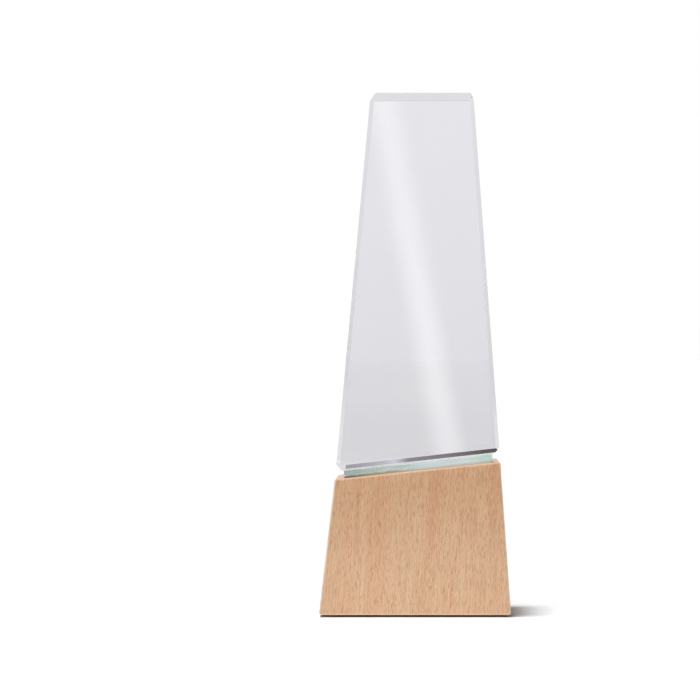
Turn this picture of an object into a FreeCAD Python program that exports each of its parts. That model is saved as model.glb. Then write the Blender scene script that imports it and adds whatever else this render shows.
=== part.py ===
"""A crystal award: a tapered clear block, bonded over a thin glass spacer to a tapered beech base.

Every piece is a block with flat faces and bevelled edges, so each is described by its faces and by the
two legs of every bevel. Millimetres. +X is right, +Y is back, +Z is up, and the origin is on the table
under the middle of the base.
"""

import FreeCAD, Part
import math
import os

# The award as a whole
overall_height = 210.0
depth = 45.0
joint_slope = 6.0  # degrees, the cut across the base rises to the right

# Beech base, sawn and sanded from solid wood
base_width = 77.0  # across the underside
base_middle_height = 58.5  # from the table to the sloped top, at the middle
base_left_lean = 6.7  # degrees inwards from upright
base_right_lean = 4.0
base_arris = 0.7  # legs of the small sanded bevel on each edge

# Foot under the base
pad_thickness = 0.9
pad_adhesive_thickness = 0.1
pad_inset = 1.0  # from the edge of the base's underside

# Glass spacer, which holds the crystal just clear of the wood
spacer_thickness = 3.0
spacer_inset = 3.4  # from the edge of the base's sloped top
spacer_shift = 0.5  # it was bonded this far to the right of the middle
spacer_arris = 0.25

# Bonds above and below the spacer
film_thickness = 0.1
bed_left = 0.15  # the bedding adhesive is a thin wedge
bed_right = 0.55
bond_inset = 0.4  # from the edge of the spacer

# Crystal block, ground and polished
crystal_left_lean = 5.3
crystal_right_lean = 4.2
upright_bevel = 1.5  # legs of the bevel on the two upright edges at the front
top_bevel_in = 1.6  # leg on the top face, at the front
top_left_bevel_in = 2.0
top_right_bevel_in = 0.9
top_bevel_down = 3.4  # leg on the front, the left side and the right side
bottom_bevel_in = 2.1  # leg on the underside
bottom_bevel_up = 2.2  # leg on the front and the right side
bottom_left_bevel_up = 3.0
back_bevel = 0.6  # legs of the fine bevel round the back face

UPRIGHT_EDGES = (("left", "front"), ("left", "back"), ("right", "front"), ("right", "back"))
SIDES = ("left", "right", "front", "back")


def up_slope(degrees):
    """The unit direction that rises to the right at this angle."""
    angle = math.radians(degrees)
    return FreeCAD.Vector(math.cos(angle), 0, math.sin(angle))


def facing_left(lean):
    """The outward normal of a left side that leans inwards by this angle."""
    angle = math.radians(lean)
    return FreeCAD.Vector(-math.cos(angle), 0, math.sin(angle))


def facing_right(lean):
    """The outward normal of a right side that leans inwards by this angle."""
    angle = math.radians(lean)
    return FreeCAD.Vector(math.cos(angle), 0, math.sin(angle))


def across(direction):
    """The upward normal of a surface that runs along this direction and straight back."""
    return FreeCAD.Vector(-direction.z, 0, direction.x)


def on_face(start, direction, face):
    """Where a line from start along direction meets a face, which is a point and an outward normal."""
    point, normal = face
    return start + direction * ((point - start).dot(normal) / direction.dot(normal))


def bevel(first, second, first_leg, second_leg):
    """The face that takes off the edge between two faces and leaves this leg on each of them."""
    (first_point, first_normal), (_, second_normal) = first, second
    cosine = first_normal.dot(second_normal)
    into_first = (first_normal * cosine - second_normal).normalize()
    into_second = (second_normal * cosine - first_normal).normalize()
    edge = on_face(first_point, into_first, second)
    start = edge + into_first * first_leg
    end = edge + into_second * second_leg
    outward = (end - start).cross(first_normal.cross(second_normal)).normalize()
    if outward.dot(first_normal) < 0:
        outward = outward * -1
    return start, outward


def block(faces, bevels):
    """The solid inside all the faces, with a bevel on each listed pair of them."""
    reach = overall_height + base_width + depth
    solid = Part.makeBox(2 * reach, 2 * reach, 2 * reach, FreeCAD.Vector(-reach, -reach, -reach))
    cuts = list(faces.values())
    cuts += [bevel(faces[a], faces[b], a_leg, b_leg) for a, b, a_leg, b_leg in bevels]
    for point, outward in cuts:
        corner = FreeCAD.Vector(-4 * reach, -4 * reach, 0)
        beyond = Part.makeBox(8 * reach, 8 * reach, 4 * reach, corner)
        turn = FreeCAD.Rotation(FreeCAD.Vector(0, 0, 1), outward)
        beyond.Placement = FreeCAD.Placement(point, turn)
        solid = solid.cut(beyond).Solids[0]
    return solid


def even_bevels(leg):
    """The same bevel on all twelve edges of a block."""
    pairs = list(UPRIGHT_EDGES)
    pairs += [(end, side) for end in ("top", "bottom") for side in SIDES]
    return [(a, b, leg, leg) for a, b in pairs]


def front_and_back(inset):
    """The upright front and back faces, this far inside the full depth."""
    half = depth / 2 - inset
    return {
        "front": (FreeCAD.Vector(0, -half, 0), FreeCAD.Vector(0, -1, 0)),
        "back": (FreeCAD.Vector(0, half, 0), FreeCAD.Vector(0, 1, 0)),
    }


def base_faces():
    """The faces of the wood."""
    underside = pad_thickness + pad_adhesive_thickness
    half = base_width / 2
    return {
        "left": (FreeCAD.Vector(-half, 0, underside), facing_left(base_left_lean)),
        "right": (FreeCAD.Vector(half, 0, underside), facing_right(base_right_lean)),
        "bottom": (FreeCAD.Vector(0, 0, underside), FreeCAD.Vector(0, 0, -1)),
        "top": (FreeCAD.Vector(0, 0, base_middle_height), across(up_slope(joint_slope))),
        **front_and_back(0),
    }


def spacer_seat():
    """The two ends of the spacer's underside, and the direction from the left one to the right one."""
    faces = base_faces()
    middle, upward = faces["top"]
    rise = up_slope(joint_slope)
    left_inset = spacer_inset + spacer_shift
    right_inset = spacer_inset - spacer_shift
    left = on_face(middle, rise, faces["left"]) + rise * left_inset + upward * bed_left
    right = on_face(middle, rise, faces["right"]) - rise * right_inset + upward * bed_right
    return left, right, (right - left).normalize()


def spacer_faces(low, high, inset):
    """The faces of a layer parallel to the spacer, from low to high above the spacer's underside."""
    left, right, rise = spacer_seat()
    upward = across(rise)
    return {
        "left": (left + rise * inset, rise * -1),
        "right": (right - rise * inset, rise),
        "bottom": (left + upward * low, upward * -1),
        "top": (left + upward * high, upward),
        **front_and_back(spacer_inset + inset),
    }


def base_pad():
    """The foot, which stands on the table."""
    half = base_width / 2 - pad_inset
    deep = depth - 2 * pad_inset
    return Part.makeBox(2 * half, deep, pad_thickness, FreeCAD.Vector(-half, -deep / 2, 0))


def pad_adhesive():
    """The adhesive layer on the foot's upper face."""
    half = base_width / 2 - pad_inset
    deep = depth - 2 * pad_inset
    corner = FreeCAD.Vector(-half, -deep / 2, pad_thickness)
    return Part.makeBox(2 * half, deep, pad_adhesive_thickness, corner)


def beech_base():
    """The wooden base."""
    return block(base_faces(), even_bevels(base_arris))


def lower_bond_bed():
    """The wedge of adhesive between the sloped wood and the spacer."""
    faces = spacer_faces(0, 0, bond_inset)
    middle, upward = base_faces()["top"]
    faces["bottom"] = (middle, upward * -1)
    return block(faces, [])


def glass_spacer():
    """The glass plate between the wood and the crystal."""
    return block(spacer_faces(0, spacer_thickness, 0), even_bevels(spacer_arris))


def upper_bond_film():
    """The clear film that bonds the crystal to the spacer."""
    top = spacer_thickness + film_thickness
    return block(spacer_faces(spacer_thickness, top, bond_inset), [])


def crystal_block():
    """The crystal, whose sides start in line with the sides of the base.

    Its wide bevels run round the front face, with one along each end of the top and the underside.
    """
    left, _, rise = spacer_seat()
    upward = across(rise)
    seat = left + upward * (spacer_thickness + film_thickness)
    wood = base_faces()
    faces = {
        "left": (on_face(seat, rise, wood["left"]), facing_left(crystal_left_lean)),
        "right": (on_face(seat, rise, wood["right"]), facing_right(crystal_right_lean)),
        "bottom": (seat, upward * -1),
        "top": (FreeCAD.Vector(0, 0, overall_height), FreeCAD.Vector(0, 0, 1)),
        **front_and_back(0),
    }
    top_in = {"left": top_left_bevel_in, "front": top_bevel_in, "right": top_right_bevel_in}
    bottom_up = {"left": bottom_left_bevel_up, "front": bottom_bevel_up, "right": bottom_bevel_up}
    bevels = [(side, "front", upright_bevel, upright_bevel) for side in ("left", "right")]
    bevels += [("top", side, leg_in, top_bevel_down) for side, leg_in in top_in.items()]
    bevels += [("bottom", side, bottom_bevel_in, leg_up) for side, leg_up in bottom_up.items()]
    bevels += [(side, "back", back_bevel, back_bevel) for side in ("left", "right", "top", "bottom")]
    return block(faces, bevels)


pieces = {
    "base_pad": base_pad,
    "pad_adhesive": pad_adhesive,
    "beech_base": beech_base,
    "lower_bond_bed": lower_bond_bed,
    "glass_spacer": glass_spacer,
    "upper_bond_film": upper_bond_film,
    "crystal_block": crystal_block,
}

os.makedirs("parts", exist_ok=True)
for name, make in pieces.items():
    make().exportStep(f"parts/{name}.step")
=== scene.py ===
from math import cos, radians, sin

import bmesh
import bpy
import numpy as np
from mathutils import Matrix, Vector


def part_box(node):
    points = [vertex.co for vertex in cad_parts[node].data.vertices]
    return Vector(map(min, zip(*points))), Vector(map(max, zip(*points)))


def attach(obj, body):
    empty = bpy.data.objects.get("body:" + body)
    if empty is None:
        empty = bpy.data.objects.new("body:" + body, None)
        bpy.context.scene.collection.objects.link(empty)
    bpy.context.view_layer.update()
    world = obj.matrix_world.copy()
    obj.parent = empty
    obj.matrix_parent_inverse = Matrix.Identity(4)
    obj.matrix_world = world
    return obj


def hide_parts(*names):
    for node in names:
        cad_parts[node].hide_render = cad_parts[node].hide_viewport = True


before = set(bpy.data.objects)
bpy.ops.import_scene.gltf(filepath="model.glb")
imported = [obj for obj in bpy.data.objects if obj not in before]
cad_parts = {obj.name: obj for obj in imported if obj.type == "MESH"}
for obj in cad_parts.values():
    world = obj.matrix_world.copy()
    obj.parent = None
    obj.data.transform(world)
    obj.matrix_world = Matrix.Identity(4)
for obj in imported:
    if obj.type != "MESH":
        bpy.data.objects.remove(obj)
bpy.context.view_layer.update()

# A crystal award, put together from the table up: a felt foot and its adhesive, a beech base, a bed
# of adhesive, a glass spacer, a film of clear adhesive and the crystal. Metres; +Z up, +X right.


# ---- Felt foot ---------------------------------------------------------------------------------
# A sheet of pressed wool felt, 0.9 mm thick, die-cut a little smaller than the base.
# The cut leaves a soft, slightly ragged edge, and the weight above has flattened the fibres.

felt_corner = 0.0012
felt_edge = 0.0003
felt_ragged = 0.00012  # how far its cut edge wanders


def cad_points(node):
    """The corner points of a CAD piece as an array, one row a point."""
    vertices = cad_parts[node].data.vertices
    points = np.empty(len(vertices) * 3)
    vertices.foreach_get("co", points)
    return points.reshape(-1, 3)


def sharp_corners(node, left_lean, right_lean, low_slope, high_slope):
    """The four corners of a flat-sided piece seen from the front, as if its edges had never been eased.

    Each of the four sides is a line whose outward direction is known from its lean or slope in degrees.
    It lies as far out as the CAD piece reaches that way, and each corner is where two such lines cross.
    """
    left, right, low, high = np.radians([left_lean, right_lean, low_slope, high_slope])
    outward = np.array([
        [sin(low), -cos(low)],
        [cos(right), sin(right)],
        [-sin(high), cos(high)],
        [-cos(left), sin(left)],
    ])
    reach = (cad_points(node)[:, [0, 2]] @ outward.T).max(axis=0)
    pairs = [(0, 3), (0, 1), (2, 1), (2, 3)]
    return np.array([np.linalg.solve(outward[[a, b]], reach[[a, b]]) for a, b in pairs])


def block_skin(corners, half_deep, corner, ease, rows=8, along=40, lids=6):
    """Points over the whole skin of a flat-sided block, as rings, with how near each is to an arris.

    A ring is a rectangle with round corners. The rings open over the underside from a line along its
    middle, turn a quarter circle round the lower arris, climb the sides in straight lines, turn the
    upper arris and close over the top. A ring is its inset from the sides and its climb from the
    underside; a point across it is a share of the way from the left side to the right side.
    """
    quarter = np.linspace(0, np.pi / 2, 5)
    height = np.linalg.norm(corners[[3, 2]].mean(axis=0) - corners[[0, 1]].mean(axis=0))
    lid = half_deep - (half_deep - ease) * np.linspace(0, 1, lids, endpoint=False) ** 0.7
    turned_in, turned_up = ease * (1 - np.sin(quarter)), ease * (1 - np.cos(quarter))
    sides = np.linspace(ease, height - ease, rows + 2)[1:-1]
    half_inset = np.concatenate([lid, turned_in])
    half_climb = np.concatenate([lid * 0, turned_up])
    inset = np.concatenate([half_inset, sides * 0, half_inset[::-1]])[:, None]
    climb = np.concatenate([half_climb, sides, height - half_climb[::-1]])[:, None]
    share = climb / height
    left = corners[0] + (corners[3] - corners[0]) * share
    right = corners[1] + (corners[2] - corners[1]) * share
    wide = np.linalg.norm(right - left, axis=1)[:, None] / 2

    angle = np.linspace(0, np.pi / 2, 6)[None, :] + np.arange(4)[:, None] * np.pi / 2
    signs = np.array([[1, 1], [-1, 1], [-1, -1], [1, -1]])
    radius = np.maximum(corner - inset, 0)[:, :, None]
    middle = np.stack([wide - inset - radius[:, :, 0], half_deep - inset - radius[:, :, 0]], axis=-1)
    arcs = middle[:, :, None, :] * signs[None, :, None, :]
    arcs = arcs + radius[..., None] * np.stack([np.cos(angle), np.sin(angle)], axis=-1)[None]
    step = np.linspace(0, 1, along + 2)[1:-1][None, None, :, None]
    after = np.roll(arcs, -1, axis=1)[:, :, :1]
    straights = arcs[:, :, -1:] * (1 - step) + after * step
    flat = np.concatenate([arcs, straights], axis=2).reshape(len(inset), -1, 2)

    across = (0.5 + flat[:, :, 0] / (2 * wide))[..., None]
    front_view = left[:, None, :] * (1 - across) + right[:, None, :] * across
    points = np.stack([front_view[..., 0], flat[..., 1], front_view[..., 1]], axis=-1)
    upright = np.maximum(wide - np.abs(flat[..., 0]), half_deep - np.abs(flat[..., 1]))
    level = np.maximum(inset, np.minimum(climb, height - climb))
    return points, np.minimum(upright, level), np.broadcast_to(inset, upright.shape)


def closed_mesh(name, rings, from_arris=None):
    """A closed piece from rings of points, each joined to the next, with doubled points merged."""
    count, around, _ = rings.shape
    index = np.arange(count * around).reshape(count, around)
    after = np.roll(index, -1, axis=1)
    quads = np.stack([index[:-1], after[:-1], after[1:], index[1:]], axis=-1).reshape(-1, 4)
    mesh = bpy.data.meshes.new(name)
    mesh.from_pydata(rings.reshape(-1, 3).tolist(), [], quads.tolist())
    if from_arris is not None:
        layer = mesh.attributes.new("from_arris", "FLOAT", "POINT")
        layer.data.foreach_set("value", from_arris.astype(np.float32).ravel() * 1000)
    work = bmesh.new()
    work.from_mesh(mesh)
    bmesh.ops.remove_doubles(work, verts=work.verts, dist=2e-7)
    bmesh.ops.dissolve_degenerate(work, edges=work.edges, dist=1e-7)
    work.to_mesh(mesh)
    work.free()
    mesh.shade_smooth()
    piece = bpy.data.objects.new(name, mesh)
    bpy.context.collection.objects.link(piece)
    return piece


def wander(seed, count, smoothing):
    """Numbers about 0 that drift smoothly round a closed ring: noise averaged over its neighbours."""
    noise = np.random.default_rng(seed).normal(size=count)
    window = np.exp(-0.5 * (np.minimum(np.arange(count), count - np.arange(count)) / smoothing) ** 2)
    drift = np.fft.ifft(np.fft.fft(noise) * np.fft.fft(window)).real
    return drift / np.abs(drift).max()


def tint(code):
    """A colour from its web code, as Blender's linear values."""
    steps = np.array([int(code[i:i + 2], 16) for i in (1, 3, 5)]) / 255
    linear = np.where(steps <= 0.04045, steps / 12.92, ((steps + 0.055) / 1.055) ** 2.4)
    return (*linear.tolist(), 1.0)


def node(tree, kind, inputs=(), **settings):
    """Adds a shader node. inputs pairs each input's name or number with a value or with a socket."""
    made = tree.nodes.new("ShaderNode" + kind)
    for setting, value in settings.items():
        setattr(made, setting, value)
    for key, value in dict(inputs).items():
        if isinstance(value, bpy.types.NodeSocket):
            tree.links.new(value, made.inputs[key])
        else:
            made.inputs[key].default_value = value
    return made


def calc(tree, operation, first, second=0.0):
    """A number worked out from one or two others."""
    return node(tree, "Math", {0: first, 1: second}, operation=operation).outputs[0]


def between(tree, value, start, end, low=0.0, high=1.0):
    """Turns a value that goes from start to end into one that eases from low to high."""
    sizes = {"Value": value, "From Min": start, "From Max": end, "To Min": low, "To Max": high}
    return node(tree, "MapRange", sizes, interpolation_type="SMOOTHSTEP").outputs[0]


def colours(tree, share, first, second, blend="MIX"):
    """Two colours mixed by a share."""
    parts = {0: share, 6: first, 7: second}
    return node(tree, "Mix", parts, data_type="RGBA", blend_type=blend).outputs[2]


def start_material(name, scale=1000.0, turn=(0, 0, 0)):
    """A new material's tree, with its position on the piece in millimetres, turned by degrees."""
    material = bpy.data.materials.new(name)
    material.use_nodes = True
    tree = material.node_tree
    tree.nodes.clear()
    place = {"Vector": node(tree, "TexCoord").outputs["Object"]}
    place.update({"Scale": (scale,) * 3, "Rotation": tuple(np.radians(turn))})
    return material, tree, node(tree, "Mapping", place).outputs[0]


def surface(tree, shader):
    """Puts the shader on the surface."""
    output = node(tree, "OutputMaterial")
    tree.links.new(shader, output.inputs["Surface"])


def raised(tree, height, distance, strength=1.0):
    """Normals bumped by a height from 0 to 1 that stands for this distance."""
    sizes = {"Height": height, "Distance": distance, "Strength": strength}
    return node(tree, "Bump", sizes).outputs[0]


# Grain: noise stretched to the length of a feature along each axis, in millimetres
grain = bpy.data.node_groups.new("grain", "ShaderNodeTree")
for title, kind in (("Position", "NodeSocketVector"), ("Length", "NodeSocketVector"),
                    ("Seed", "NodeSocketFloat"), ("Detail", "NodeSocketFloat")):
    grain.interface.new_socket(title, in_out="INPUT", socket_type=kind)
grain.interface.new_socket("Value", in_out="OUTPUT", socket_type="NodeSocketFloat")
inlet = grain.nodes.new("NodeGroupInput").outputs
stretched = node(grain, "VectorMath", {0: inlet["Position"], 1: inlet["Length"]}, operation="DIVIDE")
settings = {"Vector": stretched.outputs[0], "W": inlet["Seed"], "Detail": inlet["Detail"], "Scale": 1.0}
noise = node(grain, "TexNoise", settings, noise_dimensions="4D")
outlet = grain.nodes.new("NodeGroupOutput")
grain.links.new(noise.outputs[0], outlet.inputs["Value"])


def grained(tree, position, length, seed, detail=2.0):
    """The grain effect placed in a material with its own lengths."""
    made = node(tree, "Group", node_tree=grain)
    made.inputs["Length"].default_value = length
    made.inputs["Seed"].default_value = seed
    made.inputs["Detail"].default_value = detail
    tree.links.new(position, made.inputs["Position"])
    return made.outputs["Value"]


felt, tree, place = start_material("brown_felt")
fibres = grained(tree, place, (1.6, 0.16, 0.12), 1.0, 3.0)
cross_fibres = grained(tree, place, (0.15, 1.3, 0.12), 2.0, 3.0)
tangle = calc(tree, "MAXIMUM", fibres, cross_fibres)
blotches = grained(tree, place, (9, 9, 2), 3.0)
brown = colours(tree, between(tree, tangle, 0.45, 0.75), tint("#4A382F"), tint("#7A6252"))
brown = colours(tree, between(tree, blotches, 0.3, 0.7, 0.0, 0.35), brown, tint("#65503F"))
pale_hairs = between(tree, grained(tree, place, (0.9, 0.07, 0.06), 4.0), 0.68, 0.74, 0.0, 0.6)
wool = node(tree, "BsdfPrincipled", {
    "Base Color": colours(tree, pale_hairs, brown, tint("#9C8878")),
    "Roughness": between(tree, tangle, 0.4, 0.8, 0.98, 0.86),
    "Normal": raised(tree, tangle, 0.00012),
    "Sheen Weight": 0.35,
    "Sheen Roughness": 0.6,
})
surface(tree, wool.outputs[0])

corners = sharp_corners("base_pad", 0, 0, 0, 0)
half_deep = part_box("base_pad")[1].y
rings, _, inset = block_skin(corners, half_deep - felt_ragged, felt_corner, felt_edge, rows=2, along=70)
ragged = wander(5, rings.shape[1], 2.0) * felt_ragged / half_deep
rings[:, :, :2] *= 1 + (ragged[None, :] * (1 - inset / inset.max()))[..., None]
rings[:, :, 0] *= 1 - felt_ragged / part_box("base_pad")[1].x
base_pad = closed_mesh("felt_foot", rings)
base_pad.data.materials.append(felt)
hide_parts("base_pad")
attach(base_pad, "root")


# ---- Pad adhesive ------------------------------------------------------------------------------
# The film of contact adhesive that came on the back of the felt, 0.1 mm thick.
# It is milky, with the felt's fibres showing through it.

milky, tree, place = start_material("milky_adhesive")
mottle = grained(tree, place, (2.5, 2.5, 1.0), 11.0, 3.0)
fluff = between(tree, grained(tree, place, (0.8, 0.12, 0.1), 12.0), 0.6, 0.72)
cream = colours(tree, between(tree, mottle, 0.35, 0.7), tint("#D9D2C2"), tint("#BDB29C"))
film = node(tree, "BsdfPrincipled", {
    "Base Color": colours(tree, calc(tree, "MULTIPLY", fluff, 0.55), cream, tint("#6B5648")),
    "Roughness": between(tree, mottle, 0.3, 0.7, 0.35, 0.6),
    "Normal": raised(tree, mottle, 0.00003),
})
surface(tree, film.outputs[0])
pad_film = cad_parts["pad_adhesive"]
pad_film.data.materials.clear()
pad_film.data.materials.append(milky)


# ---- Beech base --------------------------------------------------------------------------------
# One block of steamed beech with its grain upright, sawn to the crystal's taper, sanded, its edges
# eased by hand and finished with matt lacquer. Its rays are thin upright sheets that run front to
# back, so they are short brown dashes in front, broad flakes on the sides and lines on the end grain.

wood_ease = 0.0008
base_left_lean = 6.7  # degrees inwards from upright
base_right_lean = 4.0
joint_slope = 6.0  # degrees, the cut across the top
heart = (26.0, 150.0)  # the middle of the tree, in millimetres right of and behind the block
ring_spacing = 3.1

beech, tree, place = start_material("lacquered_beech", turn=(0, -3.5, 0))
where = node(tree, "SeparateXYZ", {0: place}).outputs
drift = grained(tree, place, (14, 14, 120), 21.0)
from_heart_x = calc(tree, "SUBTRACT", where[0], heart[0])
from_heart_y = calc(tree, "SUBTRACT", where[1], heart[1])
squared_x = calc(tree, "POWER", calc(tree, "ABSOLUTE", from_heart_x), 2.0)
squared_y = calc(tree, "POWER", calc(tree, "ABSOLUTE", from_heart_y), 2.0)
radius = calc(tree, "SQRT", calc(tree, "ADD", squared_x, squared_y))
radius = calc(tree, "ADD", radius, calc(tree, "MULTIPLY", drift, 9.0))
year = calc(tree, "FRACT", calc(tree, "DIVIDE", radius, ring_spacing))
late = calc(tree, "MULTIPLY", between(tree, year, 0.35, 0.93), between(tree, year, 0.93, 1.0, 1.0, 0.0))

zones = grained(tree, place, (6.5, 12, 110), 22.0, 1.0)
streaks = grained(tree, place, (0.42, 0.9, 26), 23.0, 3.0)
pores = grained(tree, place, (0.11, 0.11, 2.4), 24.0, 1.0)
dashes = grained(tree, place, (0.2, 2.6, 2.4), 27.0, 1.0)
long_dashes = grained(tree, place, (0.22, 3.6, 4.6), 28.0, 1.0)
flakes = grained(tree, place, (9.0, 2.3, 1.0), 29.0, 1.0)
sides = node(tree, "SeparateXYZ", {0: node(tree, "TexCoord").outputs["Normal"]}).outputs
end_grain = between(tree, calc(tree, "ABSOLUTE", sides[2]), 0.75, 0.95)
near_arris = node(tree, "Attribute", attribute_name="from_arris").outputs["Fac"]

body = colours(tree, between(tree, zones, 0.3, 0.7), tint("#E6C39F"), tint("#E4B893"))
body = colours(tree, calc(tree, "MULTIPLY", late, 0.20), body, tint("#CF9F76"))
body = colours(tree, between(tree, streaks, 0.38, 0.66, 0.0, 0.40), body, tint("#CB9C74"))
body = colours(tree, between(tree, pores, 0.58, 0.74, 0.0, 0.38), body, tint("#B67F54"))
fleck = between(tree, dashes, 0.56, 0.66)
fleck = calc(tree, "MAXIMUM", fleck, between(tree, long_dashes, 0.60, 0.68))
on_side = between(tree, calc(tree, "ABSOLUTE", sides[0]), 0.5, 0.9)
fleck = calc(tree, "MULTIPLY", fleck, calc(tree, "SUBTRACT", 1.0, on_side))
side_flakes = calc(tree, "MULTIPLY", between(tree, flakes, 0.58, 0.70), on_side)
front_share = calc(tree, "MULTIPLY", fleck, 0.56)
fleck_share = calc(tree, "ADD", front_share, calc(tree, "MULTIPLY", side_flakes, 0.24))
body = colours(tree, fleck_share, body, tint("#AB6C39"))
# Painted shade: the block is a little darker towards the top.
body = colours(tree, between(tree, where[2], 10.0, 62.0), body, tint("#EEE3D9"), "MULTIPLY")
body = colours(tree, calc(tree, "MULTIPLY", end_grain, 0.75), body, tint("#D9B49A"))
# Lighter near the arrises, more on the upright ones than on the top: partly wear rubbed through the
# lacquer, partly a painted highlight where the edges catch the key lamp.
wear_and_highlight = between(tree, near_arris, 0.1, 0.7, 1.0, 0.0)
wear_and_highlight = calc(tree, "MULTIPLY", wear_and_highlight, between(tree, sides[2], 0.1, 0.4, 0.8, 0.3))
body = colours(tree, wear_and_highlight, body, tint("#F6E6D2"))
relief = calc(tree, "SUBTRACT", calc(tree, "MULTIPLY", streaks, 0.6), calc(tree, "MULTIPLY", fleck, 0.3))
lacquer = node(tree, "BsdfPrincipled", {
    "Base Color": body,
    "Roughness": between(tree, calc(tree, "ADD", streaks, calc(tree, "MULTIPLY", fleck, 0.2)),
                         0.3, 0.9, 0.42, 0.58),
    "Normal": raised(tree, relief, 0.00003),
    "Coat Weight": between(tree, zones, 0.2, 0.8, 0.10, 0.22),
    "Coat Roughness": 0.35,
    "Coat IOR": 1.5,
})
surface(tree, lacquer.outputs[0])

corners = sharp_corners("beech_base", base_left_lean, base_right_lean, 0, joint_slope)
rings, from_arris, _ = block_skin(
    corners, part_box("beech_base")[1].y, wood_ease, wood_ease, rows=26, along=48, lids=10)
beech_base = closed_mesh("beech_block", rings, from_arris)
beech_base.data.materials.append(beech)
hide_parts("beech_base")
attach(beech_base, "root")


# ---- Lower bond --------------------------------------------------------------------------------
# Bedding adhesive that levels the glass on the sawn wood, thin on the left and thick on the right.
# It cured a little amber, was pressed out unevenly at its edge and holds small bubbles.

bed_gap = 0.00001
bed_corner = 0.0008
bed_ease = 0.00006
bed_squeezed = 0.00035  # how far it was pressed out past its outline, at most
seat_slope = 6.3850  # degrees, a little steeper than the wood, because the bed is a wedge

amber, tree, place = start_material("amber_bedding")
cloud = grained(tree, place, (5, 5, 3), 31.0, 3.0)
across = node(tree, "SeparateXYZ", {0: place}).outputs[0]
thick = between(tree, calc(tree, "ADD", across, calc(tree, "MULTIPLY", cloud, 20.0)), -22.0, 6.0)
specks = between(tree, grained(tree, place, (0.5, 0.5, 0.5), 32.0, 1.0), 0.62, 0.70)
facing_up = node(tree, "SeparateXYZ", {0: node(tree, "TexCoord").outputs["Normal"]}).outputs[2]
cut_edge = between(tree, calc(tree, "ABSOLUTE", facing_up), 0.6, 0.95, 1.0, 0.0)
olive = colours(tree, between(tree, cloud, 0.35, 0.65), tint("#6F6658"), tint("#A39672"))
olive = colours(tree, thick, olive, tint("#F4F1E4"))
olive = colours(tree, calc(tree, "MULTIPLY", specks, 0.5), olive, tint("#CFC3A0"))
face_alpha = between(tree, cloud, 0.3, 0.7, 0.15, 0.35)
bedding = node(tree, "BsdfPrincipled", {
    "Base Color": colours(tree, cut_edge, tint("#DDC3A0"), olive),
    "Roughness": between(tree, cloud, 0.3, 0.7, 0.25, 0.5),
    "Alpha": calc(tree, "ADD", calc(tree, "MULTIPLY", cut_edge, 0.6), face_alpha),
    "Normal": raised(tree, cloud, 0.00008),
})
surface(tree, bedding.outputs[0])

corners = sharp_corners("lower_bond_bed", -seat_slope, seat_slope, joint_slope, seat_slope)
corners[:2, 1] += bed_gap
corners[2:, 1] -= bed_gap
half_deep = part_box("lower_bond_bed")[1].y
rings, _, inset = block_skin(corners, half_deep, bed_corner, bed_ease, rows=2, along=70)
pressed = (wander(8, rings.shape[1], 5.0) + 1) * 0.5 * bed_squeezed / half_deep
rings[:, :, :2] *= 1 + (pressed[None, :] * (1 - inset / inset.max()))[..., None]
lower_bond = closed_mesh("bedding_adhesive", rings)
lower_bond.data.materials.append(amber)
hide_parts("lower_bond_bed")
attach(lower_bond, "root")


# ---- Glass spacer ------------------------------------------------------------------------------
# A strip of 3 mm float glass with diamond-ground edges. Looked into edgewise it is pale green, from
# the iron in the glass. Its ground edge scatters light and shows short grinding marks, and on the left
# the bedding adhesive has crept up it. Painted on the edge are veins of the light inside it, glints,
# and shade that darkens it towards the crystal's overhang.

spacer_ease = 0.00025
same_way = 0.9999  # the least cosine between two directions that count as one

upward = Vector((-sin(radians(seat_slope)), 0, cos(radians(seat_slope))))
corners = sharp_corners("glass_spacer", -seat_slope, seat_slope, seat_slope, seat_slope)
spacer_low = 1000 * Vector((corners[0][0], 0, corners[0][1])).dot(upward)

ground, tree, place = start_material("ground_float_edge", turn=(0, seat_slope, 0))
along, _, above = node(tree, "SeparateXYZ", {0: place}).outputs
above = calc(tree, "SUBTRACT", above, spacer_low)
veins = grained(tree, place, (8.0, 8.0, 0.32), 41.0, 3.0)
marks = grained(tree, place, (0.35, 0.35, 2.5), 42.0, 3.0)
painted_glints = between(tree, grained(tree, place, (0.5, 0.5, 0.25), 43.0, 0.0), 0.64, 0.74)
near_arris = node(tree, "Attribute", attribute_name="from_arris").outputs["Fac"]
green = colours(tree, between(tree, along, -22.0, -4.0), tint("#A4BDBC"), tint("#C6DDDC"))
green = colours(tree, between(tree, along, -6.0, 14.0), green, tint("#DBF2F6"))
green = colours(tree, between(tree, along, 26.0, 36.0, 0.0, 0.8), green, tint("#C2EBE0"))
# Painted light and shade: veins of the light inside the glass, the dark ones mostly on the left.
dark_share = between(tree, along, -20.0, 22.0, 0.75, 0.25)
dark_vein = calc(tree, "MULTIPLY", between(tree, veins, 0.50, 0.66), dark_share)
green = colours(tree, dark_vein, green, tint("#7E9F9C"))
green = colours(tree, between(tree, veins, 0.30, 0.44, 0.55, 0.0), green, tint("#F0FCFA"))
green = colours(tree, between(tree, marks, 0.45, 0.7, 0.0, 0.25), green, tint("#EAF6F2"))
# Painted shade: the edge darkens towards its top, under the crystal's overhang.
green = colours(tree, between(tree, above, 0.8, 3.0, 0.0, 0.8), green, tint("#E6E8E9"), "MULTIPLY")
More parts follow.
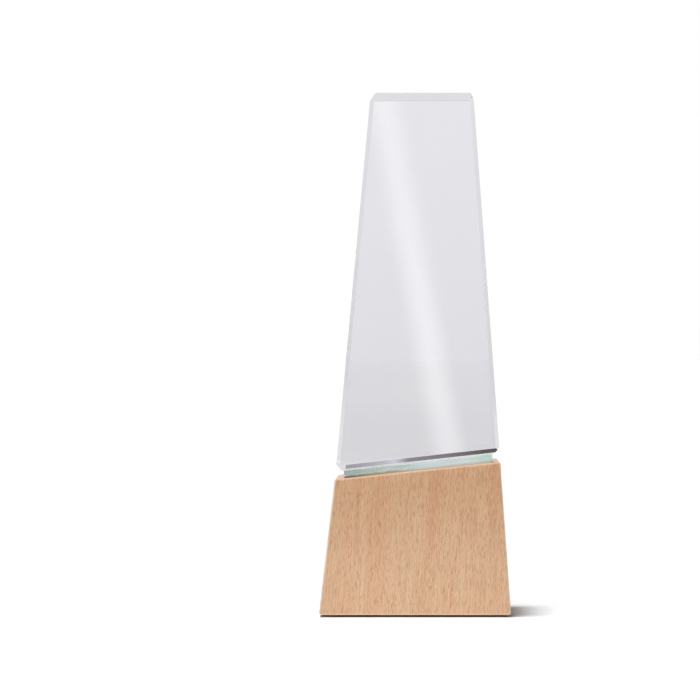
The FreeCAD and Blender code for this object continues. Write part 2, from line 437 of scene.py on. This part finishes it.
# Painted glints: white specks where the ground edge would sparkle.
green = colours(tree, calc(tree, "MULTIPLY", painted_glints, 0.7), green, tint("#FFFFFF"))
green = colours(tree, between(tree, near_arris, 0.0, 0.35, 0.4, 0.0), green, tint("#F4FBF8"))
creep = between(tree, grained(tree, place, (5.0, 5.0, 60.0), 45.0), 0.3, 0.7, 0.3, 1.0)
stain = between(tree, calc(tree, "SUBTRACT", above, creep), -0.2, 0.15, 1.0, 0.0)
stain = calc(tree, "MULTIPLY", stain, between(tree, along, -6.0, 12.0, 0.95, 0.0))
amber = colours(tree, between(tree, along, -21.0, -8.0), tint("#6E685C"), tint("#BDB78C"))
green = colours(tree, stain, green, amber)
edge_glass = node(tree, "BsdfPrincipled", {
    "Base Color": green,
    "Roughness": between(tree, marks, 0.3, 0.7, 0.35, 0.65),
    "Normal": raised(tree, marks, 0.00003),
    "Transmission Weight": 0.1,
    "IOR": 1.52,
})
surface(tree, edge_glass.outputs[0])


def bonded_glass(name, colour):
    """Glass under clear adhesive, which is almost as dense, so its surface hardly bends the light."""
    material, tree, place = start_material(name)
    faint = grained(tree, place, (6, 6, 6), 44.0)
    clear = node(tree, "BsdfPrincipled", {
        "Base Color": colours(tree, faint, tint("#FFFFFF"), colour),
        "Roughness": between(tree, faint, 0.2, 0.8, 0.0, 0.02),
        "Transmission Weight": 1.0,
        "IOR": 1.0133,
    })
    passed = node(tree, "BsdfTransparent", {"Color": (0.95, 0.97, 0.96, 1.0)})
    shadow = node(tree, "LightPath").outputs["Is Shadow Ray"]
    parts = {0: shadow, 1: clear.outputs[0], 2: passed.outputs[0]}
    surface(tree, node(tree, "MixShader", parts).outputs[0])
    return material


rings, from_arris, _ = block_skin(
    corners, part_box("glass_spacer")[1].y, spacer_ease, spacer_ease, rows=4, along=60, lids=8)
glass_spacer = closed_mesh("float_glass_spacer", rings, from_arris)
glass_spacer.data.materials.append(ground)
glass_spacer.data.materials.append(bonded_glass("bonded_spacer", tint("#E8F6F1")))
for face in glass_spacer.data.polygons:
    face.material_index = 1 if abs(face.normal.dot(upward)) > same_way else 0
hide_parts("glass_spacer")
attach(glass_spacer, "root")


# ---- Upper bond --------------------------------------------------------------------------------
# A film of clear adhesive, 0.1 mm thick, cured under light through the crystal.
# It can hardly be seen, except for a few specks and tiny bubbles near its edge.

film_gap = 0.00001
film_corner = 0.0008
film_ease = 0.00002

clear_film, tree, place = start_material("clear_adhesive_film")
bubbles = between(tree, grained(tree, place, (0.45, 0.45, 0.45), 51.0, 0.0), 0.70, 0.76)
haze = grained(tree, place, (9, 9, 9), 52.0)
bubble_alpha = calc(tree, "MULTIPLY", bubbles, 0.45)
film = node(tree, "BsdfPrincipled", {
    "Base Color": colours(tree, haze, tint("#F2F5F1"), tint("#DDE6DC")),
    "Roughness": between(tree, haze, 0.3, 0.7, 0.2, 0.4),
    "Alpha": calc(tree, "ADD", bubble_alpha, between(tree, haze, 0.3, 0.8, 0.02, 0.08)),
})
surface(tree, film.outputs[0])

corners = sharp_corners("upper_bond_film", -seat_slope, seat_slope, seat_slope, seat_slope)
corners[:2, 1] += film_gap
corners[2:, 1] -= film_gap
film_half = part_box("upper_bond_film")[1].y
rings, _, _ = block_skin(corners, film_half, film_corner, film_ease, rows=1, along=60)
upper_bond = closed_mesh("clear_film", rings)
upper_bond.data.materials.append(clear_film)
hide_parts("upper_bond_film")
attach(upper_bond, "root")


# ---- Crystal block -----------------------------------------------------------------------------
# A solid block of optical crystal, ground flat and polished, with wide bevels round its front face
# and a fine one round its back. Where it is bonded, its underside has no bright surface, so the wood
# shows through. The arris of the underside was left ground.

ground_width = 0.0006  # the ground arris round the underside
fine_width = 0.00012  # the polished arris round the front face
same_point = 1e-6
flat_within = radians(0.5)  # faces that turn less than this are one face
edge_turn = radians(8)  # edges that turn more than this are eased


def polished_glass(name, smooth, rough, colour, clearness=1.0):
    """Polished crystal. Light passes straight through it for shadows, so that they stay pale."""
    material, tree, place = start_material(name)
    smears = grained(tree, place, (18, 18, 30), 61.0, 3.0)
    hairlines = between(tree, grained(tree, place, (0.2, 9, 14), 62.0, 1.0), 0.70, 0.74)
    wear_and_highlight = calc(tree, "MAXIMUM", between(tree, smears, 0.5, 0.8, smooth, rough),
                calc(tree, "MULTIPLY", hairlines, rough))
    clear = node(tree, "BsdfPrincipled", {
        "Base Color": colours(tree, between(tree, smears, 0.2, 0.8, 0.6, 1.0), tint("#FFFFFF"), colour),
        "Roughness": wear_and_highlight,
        "Normal": raised(tree, smears, 0.00001, 0.05),
        "Transmission Weight": clearness,
        "IOR": 1.52,
    })
    passed = node(tree, "BsdfTransparent", {"Color": (0.93, 0.93, 0.95, 1.0)})
    shadow = node(tree, "LightPath").outputs["Is Shadow Ray"]
    parts = {0: shadow, 1: clear.outputs[0], 2: passed.outputs[0]}
    surface(tree, node(tree, "MixShader", parts).outputs[0])
    return material


def ease_edges(piece, chosen, width, slot):
    """Rounds the edges that the named attribute chooses, and gives the new faces this material slot."""
    arris = piece.modifiers.new(chosen, "BEVEL")
    arris.limit_method = "WEIGHT"
    arris.edge_weight = chosen
    arris.width = width
    arris.segments = 2
    arris.material = slot


film_corners = sharp_corners("upper_bond_film", -seat_slope, seat_slope, seat_slope, seat_slope)
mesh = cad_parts["crystal_block"].data.copy()
mesh.name = "crystal"
mesh.materials.clear()
work = bmesh.new()
work.from_mesh(mesh)
bmesh.ops.remove_doubles(work, verts=work.verts, dist=same_point)
bmesh.ops.dissolve_limit(work, angle_limit=flat_within, verts=work.verts, edges=work.edges)
down = -upward
film_low, film_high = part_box("upper_bond_film")
rise = Vector((cos(radians(seat_slope)), 0, sin(radians(seat_slope))))
edges_of_bond = [
    (Vector((film_corners[3][0], 0, film_corners[3][1])), rise),
    (Vector((film_corners[2][0], 0, film_corners[2][1])), rise),
    (Vector((0, film_low.y, 0)), Vector((0, 1, 0))),
    (Vector((0, film_high.y, 0)), Vector((0, 1, 0))),
]
for point, direction in edges_of_bond:
    work.normal_update()
    under = [f for f in work.faces if f.normal.dot(down) > same_way]
    parts = set(under)
    for face in under:
        parts.update(face.edges)
        parts.update(face.verts)
    bmesh.ops.bisect_plane(work, geom=list(parts), dist=1e-7, plane_co=point, plane_no=direction)
work.normal_update()
for face in work.faces:
    middle = face.calc_center_median()
    within = (middle - edges_of_bond[0][0]).dot(rise) > 0 > (middle - edges_of_bond[1][0]).dot(rise)
    bonded = face.normal.dot(down) > same_way and within and film_low.y < middle.y < film_high.y
    face.material_index = 2 if bonded else 0
    face.smooth = False
ground_edge = work.edges.layers.float.new("ground_edge")
fine_edge = work.edges.layers.float.new("fine_edge")
for edge in work.edges:
    if len(edge.link_faces) == 2 and edge.calc_face_angle() > edge_turn:
        edge[ground_edge] = float(any(f.normal.dot(down) > same_way for f in edge.link_faces))
        edge[fine_edge] = float(any(f.normal.y < -same_way for f in edge.link_faces))
work.to_mesh(mesh)
work.free()
crystal = bpy.data.objects.new("crystal", mesh)
bpy.context.collection.objects.link(crystal)
mesh.materials.append(polished_glass("polished_crystal", 0.0, 0.01, tint("#F6F5FC")))
mesh.materials.append(polished_glass("polished_arris", 0.03, 0.06, tint("#EDEDF2")))
mesh.materials.append(bonded_glass("bonded_crystal", tint("#F7F9F6")))
mesh.materials.append(polished_glass("ground_arris", 0.3, 0.4, tint("#FFFFFF"), 0.5))
ease_edges(crystal, "fine_edge", fine_width, 1)
ease_edges(crystal, "ground_edge", ground_width, 3)
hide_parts("crystal_block")
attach(crystal, "root")


# ---- Table, light and camera -------------------------------------------------------------------
# A plain pale table in a studio, with a soft key lamp high on the left in front and a weak fill. To
# light that comes through the crystal the table and the walls are darker, which gives it its grey tone.

table_half = 30.0

pale, tree, place = start_material("pale_table", scale=1.0)
seen_through = node(tree, "LightPath").outputs["Is Transmission Ray"]
paper = grained(tree, place, (0.3, 0.3, 0.3), 71.0, 2.0)
white = colours(tree, paper, tint("#F5F8FA"), tint("#F4F7F9"))
distance = node(tree, "VectorMath", {0: place}, operation="LENGTH").outputs["Value"]
# A painted pool of light on the table, seen only through the crystal: brightest within a metre of the
# middle, dimmest near two metres, then slowly brighter again.
pool = between(tree, distance, 1.0, 1.9, 0.72, 0.627)
pool = calc(tree, "ADD", pool, between(tree, distance, 2.0, 6.0, 0.0, 0.033))
pool = calc(tree, "ADD", pool, between(tree, distance, 5.0, 28.0, 0.0, 0.022))
pool = node(tree, "CombineColor", {0: pool, 1: pool, 2: calc(tree, "MULTIPLY", pool, 0.985)}).outputs[0]
table_top = node(tree, "BsdfDiffuse", {"Color": colours(tree, seen_through, white, pool)})
surface(tree, table_top.outputs[0])
mesh = bpy.data.meshes.new("table")
spread = np.array([[-1, -1], [1, -1], [1, 1], [-1, 1]]) * table_half
mesh.from_pydata(np.column_stack([spread, np.zeros(4)]).tolist(), [], [(0, 1, 2, 3)])
table = bpy.data.objects.new("table", mesh)
table.data.materials.append(pale)
bpy.context.collection.objects.link(table)


def graded(tree, value, stops):
    """Grey that follows a value through a list of (value, brightness) pairs."""
    ramp = node(tree, "ValToRGB", {0: value})
    elements = ramp.color_ramp.elements
    elements.remove(elements[1])
    for number, (position, grey) in enumerate(stops):
        stop = elements.new(position) if number else elements[0]
        stop.position = position
        stop.color = (grey, grey, grey, 1.0)
    return ramp.outputs[0]


world = bpy.data.worlds.new("studio")
world.use_nodes = True
bpy.context.scene.world = world
tree = world.node_tree
tree.nodes.clear()
direction = node(tree, "SeparateXYZ", {0: node(tree, "TexCoord").outputs["Generated"]}).outputs
height = calc(tree, "MAXIMUM", direction[2], 0.0)
walls = graded(tree, height, (
    (0.0, 0.75), (0.03, 0.77), (0.087, 0.80), (0.3, 0.80), (0.5, 0.76), (1.0, 0.76)))
front = between(tree, direction[1], -0.6, -0.9)
softbox = graded(tree, height, (
    (0.0, 0.9), (0.02, 0.95), (0.10, 1.0), (0.25, 0.9), (0.45, 0.2), (1.0, 0.15)))
softbox = colours(tree, 1.0, softbox, (1.75, 1.75, 1.75, 1.0), "MULTIPLY")
mirrored = colours(tree, front, walls, softbox)
paths = node(tree, "LightPath").outputs
seen = colours(tree, paths["Is Transmission Ray"], mirrored, walls)
seen = colours(tree, paths["Is Diffuse Ray"], seen, (0.15, 0.15, 0.155, 1.0))
seen = colours(tree, paths["Is Camera Ray"], seen, (1.0, 1.0, 1.0, 1.0))
background = node(tree, "Background", {"Color": seen})
output = node(tree, "OutputWorld")
tree.links.new(background.outputs[0], output.inputs["Surface"])


def card(name, points, material):
    """A studio card from rows of points, which only the crystal sees."""
    rows, across, _ = points.shape
    index = np.arange(rows * across).reshape(rows, across)
    around = [index[:-1, :-1], index[:-1, 1:], index[1:, 1:], index[1:, :-1]]
    quads = np.stack(around, axis=-1).reshape(-1, 4)
    mesh = bpy.data.meshes.new(name)
    mesh.from_pydata(points.reshape(-1, 3).tolist(), [], quads.tolist())
    shares = np.meshgrid(np.linspace(0, 1, across), np.linspace(0, 1, rows))
    grid = np.stack(shares, axis=-1).reshape(-1, 2)
    uv = mesh.uv_layers.new(name="UVMap")
    uv.data.foreach_set("uv", grid[quads.ravel()].astype(np.float32).ravel())
    made = bpy.data.objects.new(name, mesh)
    mesh.materials.append(material)
    bpy.context.collection.objects.link(made)
    made.visible_camera = made.visible_diffuse = made.visible_shadow = False
    return made


def start_card(name):
    """A new card material's tree, with the place across and along the card from 0 to 1."""
    material = bpy.data.materials.new(name)
    material.use_nodes = True
    tree = material.node_tree
    tree.nodes.clear()
    across, along, _ = node(tree, "SeparateXYZ", {0: node(tree, "TexCoord").outputs["UV"]}).outputs
    return material, tree, across, along


# The streak: a long narrow lamp beside the camera, whose reflection slants down the front face.
# The lamp is as far in front of the face as the camera, so the face mirrors it halfway between them,
# and the lamp is twice as far across and up from the camera as its reflection is.
eye = Vector((0.0, -1.1892, 0.107))
streak_top = np.array([-0.0130, 0.209])
streak_foot = np.array([0.0153, 0.058])
streak_wide = 0.020

down_lamp = np.linspace(0, 1, 24)[:, None, None]
middle = streak_top * (1 - down_lamp) + streak_foot * down_lamp
middle = middle + np.array([[[-0.5, 0], [0.5, 0]]]) * streak_wide
lamp_at = 2 * middle - np.array([eye.x, eye.z])
strip = np.stack([lamp_at[..., 0], np.full(lamp_at.shape[:2], eye.y), lamp_at[..., 1]], axis=-1)
glow, tree, across, down = start_card("strip_lamp")
soft = between(tree, calc(tree, "ABSOLUTE", calc(tree, "SUBTRACT", across, 0.5)), 0.0, 0.5, 1.0, 0.0)
soft = calc(tree, "MULTIPLY", soft, between(tree, down, 0.94, 1.0, 1.0, 0.0))
bright = calc(tree, "MULTIPLY", soft, between(tree, down, 0.0, 1.0, 1.95, 3.15))
lit = node(tree, "Emission", {"Color": (1.0, 1.0, 1.0, 1.0), "Strength": bright})
parts = {0: lit.outputs[0], 1: node(tree, "BsdfTransparent").outputs[0]}
surface(tree, node(tree, "AddShader", parts).outputs[0])
strip_lamp = card("strip_lamp", strip, glow)
strip_lamp.visible_transmission = False

# The flag: a dark card high behind, which draws the dark line along the crystal's lower bevel
flag_away = 1.0
flag_left, flag_right = -0.183, 0.077
flag_low, flag_high = 0.425, 0.575
flag = np.array([
    [[flag_left, flag_away, flag_low], [flag_right, flag_away, flag_low]],
    [[flag_left, flag_away, flag_high], [flag_right, flag_away, flag_high]],
])
black, tree, across, _ = start_card("dark_flag")
shade = graded(tree, across, (
    (0.26, 0.30), (0.33, 0.36), (0.40, 0.50), (0.435, 0.66), (0.475, 0.22), (0.58, 0.17), (0.70, 0.055)))
cool = colours(tree, 1.0, shade, (0.96, 0.98, 1.06, 1.0), "MULTIPLY")
surface(tree, node(tree, "Emission", {"Color": cool}).outputs[0])
dark_flag = card("dark_flag", flag, black)
dark_flag.visible_glossy = False


def soft_sun(name, energy, wide, left_of_front, above):
    """A far, soft lamp that lights what is matt. Angles in degrees."""
    lamp = bpy.data.lights.new(name, "SUN")
    lamp.energy = energy
    lamp.angle = radians(wide)
    made = bpy.data.objects.new(name, lamp)
    left, up = radians(left_of_front), radians(above)
    towards = Vector((-sin(left) * cos(up), -cos(left) * cos(up), sin(up)))
    made.rotation_mode = "QUATERNION"
    made.rotation_quaternion = towards.to_track_quat("Z", "Y")
    made.visible_glossy = made.visible_transmission = False
    bpy.context.collection.objects.link(made)


soft_sun("key", energy=2.96, wide=18, left_of_front=62, above=76)
soft_sun("fill", energy=0.75, wide=40, left_of_front=15, above=10)

camera = bpy.data.cameras.new("camera")
camera.lens = 150
camera.sensor_width = 36
camera.shift_x = -0.0927
camera.clip_start = 0.1
camera.clip_end = 100
camera_object = bpy.data.objects.new("camera", camera)
camera_object.location = eye
camera_object.rotation_euler = (radians(90), 0, 0)
bpy.context.collection.objects.link(camera_object)
scene = bpy.context.scene
scene.camera = camera_object
scene.view_settings.view_transform = "Standard"
scene.cycles.max_bounces = 48
scene.cycles.transmission_bounces = 48
scene.cycles.glossy_bounces = 48
scene.cycles.transparent_max_bounces = 32
